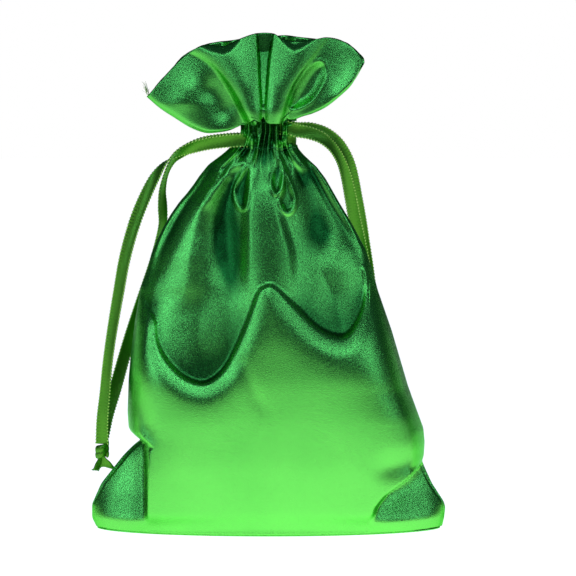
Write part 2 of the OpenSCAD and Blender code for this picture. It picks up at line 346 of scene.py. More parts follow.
# The drawstrings' routes, in millimetres, with the ribbon's roll in degrees.
LEFT_FRONT = [
    (-2, -7, 166.5, 90), (-8, -7, 166.5, 90), (-13, -7.2, 166.4, 88), (-19, -7.8, 166, 78),
    (-25, -8.5, 165.2, 72), (-31, -8.5, 163.8, 64), (-36.5, -8, 161.7, 40), (-40.5, -7.2, 159.2, 12),
    (-44.5, -6.8, 155.8, -20), (-48.5, -6.5, 150, -50), (-52.5, -6.2, 142, -64), (-56, -6, 133.5, -68),
    (-59, -6, 124, -66), (-61.5, -5.5, 114, -62), (-63.5, -5, 103, -58), (-65.5, -4.5, 92, -54),
    (-67.5, -4, 80, -50), (-69, -3, 69, -50), (-70, -2, 58, -56), (-71.2, -1, 47, -66),
    (-71.6, 0, 36, -80)]
LEFT_BACK = [
    (-2, 7, 166.5, 90), (-8, 7, 166.5, 90), (-13, 7.2, 166.5, 90), (-20, 7.8, 166, 84),
    (-27, 8.5, 165, 74), (-33, 9, 163, 58), (-38, 9.8, 160, 40), (-41.5, 10.6, 156.5, 22),
    (-44.2, 11.8, 151, 16), (-45.8, 13.2, 144, 26), (-45.8, 14.6, 137, 40), (-45.8, 16, 130, 34),
    (-47.5, 17.2, 122.5, 30), (-50, 17.8, 113, 36), (-53, 17.4, 103, 48), (-56.5, 16, 92, 60),
    (-60, 13.8, 81, 66), (-63.2, 11, 70, 70), (-66.2, 8, 59, 74), (-69.5, 4.8, 48, 80),
    (-71.6, 2, 38, 90)]
RIGHT_FRONT = [
    (2, -7, 172.8, 90), (7, -7, 172.2, 90), (12, -7, 170.6, 88), (17.5, -6, 169.5, 74),
    (22.5, -4, 167.5, 60), (26.5, -1, 164.2, 46), (29.5, 3, 160, 42), (31.8, 7, 155, 46),
    (33.6, 10.5, 149, 56), (35.2, 14, 141.5, 66), (37, 17.5, 132, 74), (39.2, 21, 122, 80),
    (41.2, 24, 112, 84), (43, 26.5, 101, 90), (44.5, 28.5, 90, 90), (45.5, 30, 79, 90),
    (46, 31, 68, 90), (46, 31, 58, 90), (46, 31, 48, 90), (46, 31, 39, 90)]
RIGHT_BACK = [
    (2, 7, 172.8, 90), (7, 7, 172.2, 90), (12, 7, 171, 90), (18, 8.5, 170.8, 80),
    (24, 11, 169, 68), (29, 14, 165.5, 58), (32.5, 17, 161, 52), (35, 19.5, 155.5, 54),
    (36.6, 22, 149, 60), (38, 24.5, 141, 68), (39.8, 27.5, 131, 76), (41.5, 30.5, 120, 82),
    (43.2, 33, 109, 88), (44.6, 34.5, 98, 90), (45.6, 35.5, 87, 90), (46.2, 35.8, 76, 90),
    (46.4, 35.6, 65, 90), (46.4, 35.2, 55, 90), (46.4, 34.6, 46, 90), (46.2, 33.8, 39, 90)]
LEFT_KNOT = np.array([-71.6, 1, 33], float)
RIGHT_KNOT = np.array([46, 32, 36], float)


def ribbon_frames(route, count):
    """Centres, width directions and face normals along a ribbon's route, in millimetres."""
    path = spline(route, count)
    centre = path[:, :3]
    tangent = np.gradient(centre, axis=0)
    tangent /= np.linalg.norm(tangent, axis=1)[:, None]
    across = np.array([0, 1, 0]) - tangent[:, 1:2] * tangent
    across /= np.linalg.norm(across, axis=1)[:, None]
    up = np.cross(tangent, across)
    roll = np.radians(path[:, 3:4])
    width = np.cos(roll) * across + np.sin(roll) * up
    return centre, width, np.cross(tangent, width)


def make_ribbon(name, route):
    """A satin ribbon with picot edges along a route. Returns the piece and its centreline in metres."""
    rough = spline(route, 400)
    length = np.linalg.norm(np.diff(rough[:, :3], axis=0), axis=1).sum()
    count = int(length / (PICOT_PITCH / 6))
    centre, width, normal = ribbon_frames(route, count)
    s = np.linspace(0, length, count)
    picot = PICOT_DEPTH * (0.5 + 0.5 * np.cos(2 * math.pi * s / PICOT_PITCH))
    half = RIBBON_WIDTH / 2 - PICOT_DEPTH + picot
    cup = 0.25 * np.sin(s / 9.0)
    # Around the ribbon: a thin face in the middle and a thicker woven edge on both sides
    ring = [(-1.0, 0.0, 0), (-0.97, 0.62, 0), (-0.86, 0.62, 0), (-0.8, 0.32, 1), (0, 0.32, 1),
            (0.8, 0.32, 1), (0.86, 0.62, 0), (0.97, 0.62, 0), (1.0, 0.0, 0), (0.97, -0.62, 0),
            (0.86, -0.62, 0), (0.8, -0.32, 1), (0, -0.32, 1), (-0.8, -0.32, 1), (-0.86, -0.62, 0),
            (-0.97, -0.62, 0)]
    points = []
    uv = []
    for w, h, _ in ring:
        bend = cup * (1 - w * w)
        points.append(centre + width * (w * half)[:, None] + normal * (h * RIBBON_THICK + bend)[:, None])
        uv.append(np.stack([np.full(count, 0.5 + w / 2), s / 6.0], axis=1))
    points = np.stack(points, axis=1)
    uv = np.stack(uv, axis=1)
    n = len(ring)
    faces = [(i * n + k, (i + 1) * n + k, (i + 1) * n + (k + 1) % n, i * n + (k + 1) % n)
             for i in range(count - 1) for k in range(n)]
    faces += [tuple(range(n)), tuple((count - 1) * n + k for k in range(n - 1, -1, -1))]
    obj = new_mesh(name, points.reshape(-1, 3), faces, RIBBON, uv.reshape(-1, 2))
    # The picot loops along both edges catch the light: they get a lighter copy of the ribbon, a painted
    # highlight
    obj.data.materials.append(RIBBON_PICOT_HIGHLIGHT)
    loop = [picot[i] > 0.6 * PICOT_DEPTH and not (ring[k][2] and ring[(k + 1) % n][2])
            for i in range(count - 1) for k in range(n)]
    obj.data.polygons.foreach_set("material_index", [*map(int, loop), 0, 0])
    return obj, centre * MM, length * MM


def make_knot(name, at):
    """A small overhand knot: ribbon wrapped round twice, as overlapping bands."""
    points = []
    turns, steps, sides = 2.15, 96, 10
    for i in range(steps):
        t = i / (steps - 1)
        a = 2 * math.pi * turns * t
        r = 2.1 + 0.5 * math.sin(3 * a)
        c = at + np.array([r * math.cos(a), r * math.sin(a) * 0.9, -2.4 + 4.8 * t + 0.8 * math.sin(a + 1)])
        out = np.array([math.cos(a), math.sin(a), 0.0])
        for k in range(sides):
            b = 2 * math.pi * k / sides
            points.append(c + out * 0.75 * math.cos(b) + np.array([0, 0, 1.7 * math.sin(b)]))
    obj = new_mesh(name, points, tube_faces(0, steps, sides), RIBBON)
    sub = obj.modifiers.new("smooth", "SUBSURF")
    sub.levels = sub.render_levels = 1
    return obj


def make_ribbon_end(name, at, lean, length, turn):
    """One cut end of ribbon below a knot, flaring and curling a little."""
    rows, cols = 14, 9
    grid = np.zeros((rows, cols, 3))
    for r in range(rows):
        v = r / (rows - 1)
        half = 1.3 + 1.7 * smooth(v * 1.6)
        a = turn + 0.7 * v
        for c in range(cols):
            w = 2 * c / (cols - 1) - 1
            drop = v * length + (0.9 * w if v == 1 else 0.0)
            curl = 0.8 * (w * w) * v
            x = lean * v * v * 2.4 + half * w * math.cos(a) - curl * math.sin(a)
            y = half * w * math.sin(a) + curl * math.cos(a)
            grid[r, c] = at + np.array([x, y, -2.0 - drop])
    return sheet_mesh(name, grid, RIBBON, thickness=0.45)


def make_drawstring(side, name, front, back, knot_at):
    """Both strands of one drawstring with its knot and cut ends; the knot and the ends ride on its tail."""
    body, tail = f"{name}_drawstring", f"{name}_tail"
    knot = make_knot(f"{name}_ribbon_knot", knot_at)
    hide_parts(f"{name}_knot")
    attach(knot, tail)
    ends = [make_ribbon_end(f"{name}_ribbon_end_{i + 1}", knot_at, lean, length, turn)
            for i, (lean, length, turn) in enumerate([(-1, 6.5, 0.5), (1, 5.5, -0.6)])]
    for end in ends:
        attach(end, tail)
    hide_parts(f"{name}_ribbon_ends")
    for which, route in (("front", front), ("back", back)):
        strand, path, length = make_ribbon(f"{name}_{which}_ribbon", route)
        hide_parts(f"{name}_{which}_ribbon_run", f"{name}_{which}_ribbon_tail")
        end = (side * 0.0475, 0, 0.1475)
        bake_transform(strand)


make_drawstring(LEFT, "left", LEFT_FRONT, LEFT_BACK, LEFT_KNOT)
make_drawstring(RIGHT, "right", RIGHT_FRONT, RIGHT_BACK, RIGHT_KNOT)


# ---------------------------------------------------------------- bag body

# Outlines of the stuffed bag seen from the front, (z, x), and how deep each half of it is, (z, depth)
LEFT_EDGE = [(0, -74), (4, -76), (10, -76), (19, -72), (31, -62.5), (35, -58.5), (38.5, -54),
             (40.5, -56.5), (43, -60), (50, -60.5), (64, -60), (75, -59), (90, -57), (104, -54.5),
             (112, -51.5), (118, -50), (124, -47.5), (130, -44.5), (135, -41.5), (140, -38),
             (144, -34.5), (148, -31.5), (151, -29.5), (156, -25.5), (160, -20), (163, -16.5),
             (166, -15), (170, -13.5), (177, -13.5)]
RIGHT_EDGE = [(0, 74.5), (4, 75.5), (8.5, 76), (11, 75.4), (19, 70.2), (26, 67), (29, 65.8),
              (31, 66.6), (37, 67), (43, 66.4), (61, 59.8), (85, 52.7), (102, 46.8), (112, 44),
              (120, 41.3), (130, 36), (140, 30), (150, 24.3), (155, 20.5), (160, 15), (163, 12.5),
              (166, 12), (177, 12)]
DEPTH = [(0, 24), (10, 27.5), (30, 31), (50, 33), (66, 34), (84, 33.8), (104, 32), (120, 29),
         (140, 24.5), (157, 19), (177, 18)]
NECK_DEPTH = 8.8
BASE_HALF = (75.0, 24.0)
BASE_TUCK = (1.2, 0.6)
CASING_Z = 163
CASING_END = 175

# The W-shaped edge where the stuffed lower front turns back under the gathers
W_LINE = [(-58, 100), (-54, 94), (-50.5, 90), (-49.8, 84), (-48, 78.5), (-44.5, 73), (-38.5, 67),
          (-32, 63.6), (-26, 63), (-20, 66), (-15, 71.5), (-11, 79), (-7, 88), (-4, 96), (-1.5, 102.5),
          (0.5, 104), (4, 101), (8, 97), (12, 93), (17, 88), (22, 84.5), (27, 82.5), (31, 82),
          (35, 83.5), (39, 88), (42, 94), (43.5, 100), (43.8, 106), (43, 112)]
# The central pleat's two edges, (z, x)
PLEAT_LEFT = [(100, -10), (115, -9.5), (125, -9.5), (135, -9.5), (145, -8), (158, -5), (170, -3.5)]
PLEAT_RIGHT = [(100, 11), (115, 10.5), (120, 10), (127, 8), (135, 5.5), (143, 3), (150, 1), (170, 1.5)]
# The swelling on the left shoulder that catches the light
LOBE = [(-54, 104), (-52, 95), (-47, 91), (-40, 91), (-34, 93), (-30, 98), (-28, 106), (-27, 118),
        (-25, 130), (-22, 141), (-17, 152), (-22, 156), (-29, 148), (-37, 137), (-44, 124), (-50, 112)]
PUCKERS = [
    [(-8, 156), (-11.5, 152), (-14, 147), (-14.3, 143), (-13, 139.5), (-11, 137.8), (-9.2, 139), (-8, 146)],
    [(7, 153), (9.5, 148), (11.2, 143), (11, 139), (9.5, 136.6), (7.5, 136.2), (5.5, 138.5), (4.5, 142),
     (6, 147)],
    [(4.5, 159), (6.2, 154), (6, 149), (4.5, 145), (2.5, 144.5), (1, 149), (2, 154)]]
LEFT_VALLEY = [(-12, 160), (-17, 148), (-19, 135), (-18, 120), (-15, 106), (-13, 96)]
RIGHT_VALLEY = [(11, 160), (16, 150), (20, 138), (23, 126), (25, 112)]
# Furrows that start at the pinched side seams or at the neck: (x, z) line, depth, width
FRONT_FOLDS = [([(67, 31), (59, 31.5), (50, 30), (42, 25)], 1.3, 5.0),
               ([(-57, 64), (-54, 56), (-51, 46), (-50, 38)], 1.6, 4.0),
               ([(-11, 74), (-5, 60), (0, 50)], 0.3, 3.0)]
BACK_FOLDS = [([(-20, 160), (-26, 140), (-24, 118), (-10, 100)], 5.0, 6.0),
              ([(3, 162), (2, 140), (6, 115)], 3.5, 5.0),
              ([(14, 160), (24, 140), (30, 118), (24, 98)], 5.0, 6.0),
              ([(-60, 34), (-46, 40), (-34, 52)], 4.0, 5.0),
              ([(66, 30), (52, 34), (38, 46)], 4.0, 5.0),
              ([(-56, 26), (-50, 12)], 2.0, 5.0), ([(56, 26), (50, 12)], 2.0, 5.0)]
# The right ear's edge, from the ground up to the pinch, (z, x), and where the left ear's edge stands
RIGHT_EAR = [(0, 45.5), (3, 44.2), (6, 43.3), (12.4, 45.5), (17.5, 49.7), (23, 58.3), (29, 66)]
LEFT_EAR = -51.5
# How far the ears have leant back at each height, (z, drop)
EAR_SLANT = [(-10, 0), (6, 0), (17, 6.6), (25, 10.2), (40, 14.6)]


def closed_curve(outline, count=48):
    """A smooth closed line through the points of an outline."""
    turn = outline[-2:] + outline + outline[:3]
    curve = spline(turn, count * 4)
    start = int(np.argmin(np.hypot(*(curve[:count * 2] - outline[0]).T)))
    end = len(curve) // 2 + int(np.argmin(np.hypot(*(curve[len(curve) // 2:] - outline[0]).T)))
    at = np.linspace(start, end, count + 1).round().astype(int)
    return np.concatenate([curve[at[:-1]], curve[at[:1]]])


def signed_distance(x, z, outline):
    """Distance from each point to a closed outline, positive inside it."""
    ring = closed_curve(outline)
    d, _ = distance_along(x, z, ring)
    inside = np.zeros(np.shape(x), bool)
    for (ax, az), (bx, bz) in zip(ring[:-1], ring[1:]):
        crosses = (az > z) != (bz > z)
        at = ax + (z - az) * (bx - ax) / (bz - az if bz != az else 1e-9)
        inside ^= crosses & (x < at)
    return np.where(inside, d, -d)


def above_line(x, z, line):
    """Distance from each point to a smooth line, positive above it and negative below."""
    curve = spline(line, 90)
    d, _ = distance_along(x, z, curve)
    order = np.argsort(curve[:, 0])
    return np.where(z > np.interp(x, curve[order, 0], curve[order, 1]), d, -d)


def between(z, x, left, right, soft):
    """1 between two edges given as (z, x) lines, falling to 0 over soft at each."""
    a, b = rounded(z, left, 4), rounded(z, right, 4)
    return smooth((x - a) / soft + 0.5) * smooth((b - x) / soft + 0.5)


# The bag's outlines without their pinches, which the fullness of its walls follows
LEFT_WALL = [(0, -76), (10, -76), (19, -73), (31, -66.5), (42, -62.5), (54, -61), (64, -60.2),
             *LEFT_EDGE[11:]]
RIGHT_WALL = [(0, 75), (11, 75.4), (19, 72.5), (30, 69), (40, 67), (50, 64.5), *RIGHT_EDGE[10:]]


def edge_profile(x, z, left, right):
    """How full the wall is at each point, 0 at the side seams: boxier at the casing and low down."""
    low, high = rounded(z, LEFT_WALL, 3), rounded(z, RIGHT_WALL, 3)
    across = np.clip((2 * x - low - high) / (high - low), -1, 1)
    power = 2.1 + 3.5 * smooth((z - 152) / 14) + 3.1 * smooth((104 - z) / 40)
    pinch = np.clip(np.minimum(x - left, right - x) / 7, 0, 1)
    return np.clip(1 - np.abs(across) ** power, 0, 1) ** (1 / 2.2) * np.sqrt(pinch * (2 - pinch))


def turned_back(distance):
    """How far the cloth has gone back at a distance above the W: it rolls over, drops and levels out."""
    at = np.array([-16, -10, -6, -4, -2.0, 1.4, 2.1, 2.6, 3.2, 3.8, 4.6, 12, 22, 40])
    slope = np.array([0, 0.05, 0.13, 0.27, 0.45, 0.60, 1.0, 2.0, 2.0, 0.9, 0.25, 0.20, 0.06, 0])
    fine = np.linspace(at[0], at[-1], 400)
    depth = np.cumsum(np.interp(fine, at, slope)) * (fine[1] - fine[0])
    return np.interp(distance, fine, depth)


def shoulder_folds(x, z, inside):
    """What the folds above the W take away from the front's depth."""
    amount = 0.65 + 0.4 * smooth(np.abs(x - 0.5) / 18)
    drop = amount * turned_back(above_line(x, z, W_LINE)) * (1 - 0.35 * smooth((z - 125) / 32))
    pleat = between(z, x, PLEAT_LEFT, PLEAT_RIGHT, 5.0) * smooth((z - 98) / 30) * smooth((160 - z) / 30)
    lobe = smooth(signed_distance(x, z, LOBE) / 12 + 0.4) * smooth((z - 86) / 34)
    valley = 0
    for line, depth, width in ((LEFT_VALLEY, 3.2, 6.5), (RIGHT_VALLEY, 3.0, 6.0)):
        d, along = distance_along(x, z, line)
        valley = valley + depth * bell(d, width) * smooth((1 - along) * 3) * smooth(along * 5)
    fold = drop + valley * (1 - pleat) * (1 - lobe) - 2.5 * pleat - 3.6 * lobe
    # Puckers: raised rims round small hollows
    for outline in PUCKERS:
        d = signed_distance(x, z, outline)
        fold = fold + 1.2 * smooth(d / 2.4) - 0.9 * bell(d, 0.8)
    return fold * inside


def in_shade(x, z):
    """How far the front's pleat, valleys and puckers are shut off from the light, 0 to 1."""
    shade = 0.3 * between(z, x, PLEAT_LEFT, PLEAT_RIGHT, 3) * smooth((z - 102) / 20)
    for line in (LEFT_VALLEY, RIGHT_VALLEY):
        d, along = distance_along(x, z, line)
        shade = shade + 0.32 * bell(d, 7.5) * smooth(along * 5) * smooth((1 - along) * 3)
    for outline in PUCKERS:
        shade = shade + 0.5 * smooth(signed_distance(x, z, outline) / 1.5)
    return shade


def base_lens(x, full):
    """How far in front of the middle the base reaches, no further than the wall's own fullness."""
    lens = BASE_HALF[1] * np.sqrt(np.clip(1 - (x / (BASE_HALF[0] + 1.5)) ** 2, 0, 1))
    return np.minimum(lens, full)


def least_depth(across, depth):
    """A depth that cloth keeps everywhere but at its side seams, where across is -1 and 1."""
    return depth * np.clip((1 - np.abs(across)) * 40, 0, 1)


def furrowed(depth, x, z, furrows, fade, inside):
    """The depth less a furrow along each line, which fades out towards the line's end."""
    for line, drop, width in furrows:
        d, along = distance_along(x, z, line)
        depth = depth - drop * bell(d, width) * smooth((1 - along) * fade) * inside
    return depth


def front_depth(x, z, left, right):
    """How far in front of the side seams the bag's front lies."""
    edge = edge_profile(x, z, left, right)
    full = rounded(z, DEPTH, 8) * edge
    inside = smooth(edge / 0.6)
    depth = full - shoulder_folds(x, z, inside)
    depth = depth + (NECK_DEPTH * edge - depth) * smooth((z - 145) / 25)

    # The wall comes in to the base, and the ears roll over and lean back above its corners
    lens = base_lens(x, full)
    depth = lens + (depth - lens) * smooth((z - 1.5) / 9)
    swell = 2.0 * smooth(z / 8)
    slant = rounded(z, EAR_SLANT, 3.5) - 1.6 * smooth(z / 6)
    # Beyond the upright left edge, and beyond the right one, which curves from the pinch to the ground
    for past, top, steep, turn in (
            (LEFT_EAR - x, 39.8, 1, 2.6), (x - rounded(z, RIGHT_EAR, 2), 30, 1.15, 2.6 / 0.75)):
        ear = (lens - steep * slant + swell * bell(past, 5)) * edge ** 0.5
        share = smooth((top - z) / 2.5) * smooth(past / turn + 0.5)
        depth = depth + (np.maximum(ear, 0) - depth) * share
    depth = furrowed(depth, x, z, FRONT_FOLDS, 2.5, inside)
    across = (x - (left + right) / 2) / ((right - left) / 2)
    return np.maximum(depth, least_depth(across, 1.4))


def back_depth(x, z, left, right):
    """How far behind the side seams the bag's back lies."""
    edge = edge_profile(x, z, left, right)
    full = rounded(z, DEPTH, 8) * edge
    depth = furrowed(full, x, z, BACK_FOLDS, 3, smooth(edge / 0.6))
    depth = depth + (NECK_DEPTH * edge - depth) * smooth((z - 135) / 28)
    lens = base_lens(x, full)
    depth = lens + (depth - lens) * smooth((z - 1.5) / 9)
    across = (x - (left + right) / 2) / ((right - left) / 2)
    return np.maximum(depth, least_depth(across, 1.4))


# Ridges and furrows of the gathers, seen from the front: (x, z) line, height, width
NECK_FOLDS = [
    ([(-13.5, 172), (-10, 169.5), (-6, 165.5)], 1.6, 1.1),
    ([(-12.5, 171), (-14.5, 168), (-16, 165)], 1.4, 1.1),
    ([(-4.2, 174), (-4.3, 166), (-4.8, 160), (-6.2, 155)], 1.8, 0.8),
    ([(3.2, 174), (3.4, 167), (4.4, 162.5)], 1.8, 0.8), ([(1.9, 166), (2.6, 161), (3.6, 158)], 1.2, 0.8),
    ([(7, 169), (8, 172.3), (10, 173), (11.8, 170.5)], 1.6, 0.9),
    ([(4.6, 167), (6.2, 165.8), (7.6, 168)], 1.6, 0.9), ([(-8.6, 175), (-8, 171), (-7.4, 168)], 1.4, 0.9),
    ([(-8, 164), (-9.5, 160), (-10, 157)], -2.2, 1.4), ([(-10.5, 168), (-11, 162), (-12, 158)], -1.8, 1.4),
    ([(-6, 174), (-5.8, 166)], -1.3, 1.0), ([(5.2, 174), (5.6, 166)], -1.2, 1.0),
    ([(6.5, 164), (8, 158), (10, 153)], -2.4, 1.5), ([(9.5, 168), (9, 165)], -2.0, 1.3),
    ([(-12, 162), (-18, 158.5), (-24, 155.5)], 1.5, 1.5),
    ([(-11, 159), (-17, 153), (-23, 144.5), (-29, 137)], 1.8, 2.0),
    ([(-12, 160), (-19, 154), (-25, 147)], -1.8, 1.6), ([(9, 164), (13, 159), (18, 152)], 1.2, 1.5),
    ([(8, 161), (12, 154), (16, 146)], -1.4, 2.0)]


def neck_folds(x, z, across, phase):
    """The folds that run out of the casing: a few large ones, and fine pleats that fade down the shoulder."""
    edge = smooth((1 - np.abs(across)) * 5)
    share = 0.45 + 0.6 * smooth((z - 156) / 8)
    rise = 0
    for line, height, width in NECK_FOLDS:
        d, along = distance_along(x, z, spline(line, 14))
        ends = smooth(along * 5 + 0.3) * smooth((1 - along) * 4 + 0.2)
        rise = rise + share * height * bell(d, width) * ends
    a = across * 3.2
    fade = smooth((z - 144) / 20)
    fine = np.cos(a * 11 + 1.3 * np.sin(a * 3 + phase) + phase + (z - 160) * 0.05)
    fine = fine * (0.35 + 0.35 * smooth((z - 158) / 6))
    return edge * (rise + fade * fine)


def gathers(across, z, phase):
    """Even pleats that run out of the casing and fade down the shoulder."""
    fade = smooth((z - 138) / 26)
    edge = smooth((1 - np.abs(across)) * 5)
    a = across * 3.2
    fine = np.cos(a * 9 + 1.3 * np.sin(a * 3 + phase) + phase)
    wide = np.cos(a * 4.7 + phase * 2 + 0.8 * np.sin(a * 4))
    return edge * fade * (0.7 * fine + 0.8 * wide)


BODY_ROWS = np.concatenate([np.linspace(0.6, 14, 20), np.linspace(15, 60, 48), np.linspace(60.5, 112, 106),
                            np.linspace(112.7, 158, 66), np.linspace(158.7, CASING_END, 30),
                            np.linspace(175.6, 178, 5)])
BODY_COLS = 260
# The openings at the casing's ends: from and to which height, and from which share of the half width
OPENING = (164.3, 174.2, 0.86)


def body_grid(side):
    """Points of the front or back of the bag, rows from the ground up, columns from left to right."""
    s = np.sin(np.linspace(-1, 1, BODY_COLS) * math.pi / 2)[None, :]
    z = BODY_ROWS[:, None] + 0 * s
    left = rounded(BODY_ROWS, LEFT_EDGE, 1.6)[:, None]
    right = rounded(BODY_ROWS, RIGHT_EDGE, 1.6)[:, None]
    x = (left + right) / 2 + (right - left) / 2 * s
    shape = front_depth if side == FRONT else back_depth
    depth = shape(x, z, left, right)
    depth = depth + (neck_folds(x, z, s + 0 * z, 0.4) if side == FRONT else gathers(s + 0 * z, z, 2.1))
    return np.stack([x, side * np.maximum(depth, 0), z], axis=-1)


def make_panel(side):
    """The front or back of the bag, with the ends of its casing left open for the ribbons."""
    name = "front" if side == FRONT else "back"
    grid = body_grid(side)
    low, high, share = OPENING
    shares = np.abs(np.sin(np.linspace(-1, 1, BODY_COLS) * math.pi / 2))
    faces = []
    for face in grid_faces(len(BODY_ROWS), BODY_COLS, side == BACK):
        row, col = divmod(min(face), BODY_COLS)
        if not (low < BODY_ROWS[row] < high and shares[col] > share):
            faces.append(face)
    piece = thick_mesh(f"{name}_satin_panel", grid.reshape(-1, 3), faces, SATIN, CLOTH_THICK)
    z = grid[..., 2]
    # Painted shade: the colour darkens towards the neck, on the front also in the pleat, valleys and puckers,
    # and above z 44 in the hollows
    shade = 0.4 * smooth((z - 150) / 14)
    if side == FRONT:
        shade = shade + in_shade(grid[..., 0], z)
    paint_hollow_shade(piece, side * grid[..., 1], 12, 1.7, 0.85 * smooth((z - 44) / 22), shade)
    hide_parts(f"{name}_panel")
    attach(piece, "bag")
    return grid


front_grid = make_panel(FRONT)
back_grid = make_panel(BACK)


# ---------------------------------------------------------------- frill

# The frill's outlines, (x, z): its two lower edges, its hem in front and behind, and its foot at the neck
FRILL_LEFT = [(-13, 172), (-17, 170.3), (-22, 169.5), (-27, 169.5), (-33, 171.7), (-40, 176), (-46, 180),
              (-51.5, 184.8)]
FRILL_RIGHT = [(12, 175.4), (15, 176.5), (19, 177.7), (24.5, 180.4), (30, 184.7), (35, 189.5), (38, 195)]
FRILL_HEM = [(-51.5, 184.8), (-49, 187.5), (-42, 195.5), (-36, 201.5), (-30, 205.5), (-26, 206.8),
             (-19, 206.2), (-12, 209.2), (-5, 211.5), (1.8, 211.5), (6, 209.3), (11, 208.3), (19, 208.9),
             (25, 209.8),
             (31, 208.5), (36, 205), (39.5, 200), (38, 195)]
FRILL_HEM_BACK = [(-51.5, 184.8), (-48, 189), (-41, 197), (-35, 203), (-28, 206.5), (-22, 208), (-16, 208.6),
                  (-10, 209.6), (-4, 210.2), (2, 210.4), (7, 210.8), (12, 210.2), (19, 209.4), (26, 208.6),
                  (33, 207.8), (38, 203.5), (41, 199.5), (38, 195)]
FRILL_NECK = [(-13, 172), (-10.6, 173.4), (-8.6, 173.6), (-5.2, 175.8), (-3.4, 174.2), (-2, 176.6),
              (-0.6, 174), (2.6, 173.6), (5.6, 173.8), (6.8, 176.4), (8.6, 175.4), (12, 175.4)]
FRILL_SIZE = (70, 240)


def coons(bottom, top, left, right, rows, cols):
    """A grid of (x, z) points filled in between four boundary lines."""
    u = np.linspace(0, 1, cols)[None, :, None]
    v = np.linspace(0, 1, rows)[:, None, None]
    lines = []
    for line, count in ((bottom, cols), (top, cols), (left, rows), (right, rows)):
        lines.append(spline(line, count))
    b, t, l, r = lines[0][None], lines[1][None], lines[2][:, None], lines[3][:, None]
    corners = ((1 - u) * (1 - v) * b[:, :1] + u * (1 - v) * b[:, -1:]
               + (1 - u) * v * t[:, :1] + u * v * t[:, -1:])
    return (1 - v) * b + v * t + (1 - u) * l + u * r - corners


def frill_seam(v):
    """How far in front of the middle the frill's side seams lie."""
    return 4.5 * smooth(v / 0.45)


# Lines on the frill's front, as (z, x): the outer ridges of its two cones and the groove between them
LEFT_RIDGE = [(170, -7), (175, -9.3), (180, -11.8), (185, -14.2), (190, -17.2), (195, -21), (198, -24),
              (201, -28.5), (203, -33), (206, -42), (212, -62)]
RIGHT_RIDGE = [(170, 5), (175, 6.2), (180, 7.6), (185, 9.2), (190, 11.4), (195, 14.6), (200, 18.4),
               (205, 22.2), (209, 26), (212, 30)]
GROOVE_LEFT = [(180, -2.6), (190, -3.5), (200, -4.0), (211, -4.6)]
GROOVE_RIGHT = [(180, -1.3), (190, -0.5), (200, 0.3), (211, 1.8)]
# Where the hem turns back between the ridges, (x, z)
HEM_DIPS = ([(-31, 208), (-28, 206), (-24, 204.4), (-19, 203.4), (-15.5, 205.2), (-12, 209)],
            [(4, 211), (6, 208.6), (8.5, 206.2), (11, 204.8), (14.5, 206), (20, 209.4)])
# The rim of the small hollow right of the right-hand cone, (x, z)
OVAL = [(9.5, 182), (13.2, 190), (17.5, 196.5), (20.8, 199.2), (23.4, 198.2), (24, 194), (22, 189),
        (18.5, 184), (14, 181), (10, 180)]
# Smaller swellings and dips in the wings: (x, z) line, height, width
WING_FOLDS = [([(-24, 187), (-19, 180)], -2.0, 5.5), ([(-36, 184), (-33, 187)], 0.9, 5.0),
              ([(37, 206), (37.5, 199), (35, 191), (30, 185)], 1.4, 3.5)]


def frill_front_depth(x, z, u, v):
    """How far in front of the middle the frill's front half lies."""
    edge = np.clip(1 - np.abs(2 * u - 1) ** 44.0, 0, 1) ** 0.5
    lean = rounded(z, [(166, 11.4), (173, 13.0), (178.5, 14.2), (190, 12.8), (215, 7.3)], 3.5)
    # Away from the neck the foot of the wings stands nearly upright
    upright = rounded(z, [(166, 13.0), (182, 13.6), (190, 12.8), (215, 7.3)], 3.5)
    lean = lean + (upright - lean) * smooth((np.abs(x) - 12) / 10)
    seam = frill_seam(v)
    depth = seam + (lean * (1 - 0.42 * (x / 50) ** 2) - seam) * edge
    inside = smooth(edge / 0.5)
    left, right = rounded(z, LEFT_RIDGE, 2), rounded(z, RIGHT_RIDGE, 2)
    groove_left, groove_right = rounded(z, GROOVE_LEFT, 2), rounded(z, GROOVE_RIGHT, 2)

    # Two cones stand out between the outer ridges, round across
    step = smooth((207 - z) / 30) * smooth((left - x) / 4.0 + 0.5)
    fold = -3.6 * step * (0.25 + 0.75 * bell(left - x, 13))
    step = smooth((210 - z) / 26) * smooth((x - right) / 3.6 + 0.5)
    fold = fold - 3.2 * step * (0.4 + 0.6 * bell(x - right, 13))
    # The wings lean back further
    fold = fold - 0.14 * np.maximum(z - 182, 0) * smooth((np.abs(x) - 12) / 22)
    for start, end, rise in ((left, groove_left, 2.7), (groove_right, right, 2.3)):
        share = np.clip((x - start) / np.maximum(end - start, 1), 0, 1)
        fold = fold + rise * 4 * share * (1 - share)
    groove = smooth(x - groove_left + 0.5) * smooth(groove_right - x + 0.5) * smooth((z - 179) / 4)
    fold = fold - groove * (2.0 + 0.27 * np.maximum(z - 183, 0))
    for line in HEM_DIPS:
        xs, zs = np.array(line).T
        above = z - np.interp(x, xs, zs, left=250, right=250)
        fold = fold - 2.6 * smooth(above / 4.5 + 0.35)

    for line, rise, width in WING_FOLDS:
        d, _ = distance_along(x, z, spline(line, 16))
        fold = fold + rise * bell(d, width)
    oval = signed_distance(x, z, OVAL)
    fold = fold - 2.0 * smooth(oval / 4.5 + 0.3) + 0.35 * bell(oval + 0.5, 0.9)
    return np.maximum(depth + fold * inside, seam - 3.5 * inside + least_depth(2 * u - 1, 1.2))


def frill_back_depth(x, u, v):
    """How far behind the middle the frill's back half lies: even waves."""
    edge = np.clip(1 - np.abs(2 * u - 1) ** 3.0, 0, 1) ** 0.6
    inside = smooth(edge / 0.5)
    waves = np.cos(x * 0.28 + 1.0) * 3.2 + np.cos(x * 0.62 - 0.6) * 2.0
    seam = -frill_seam(v)
    depth = seam + (10 + 2 * smooth(v) - seam) * edge
    return np.maximum(depth + waves * v * inside, seam + 4.5 * inside + least_depth(2 * u - 1, 1.2))


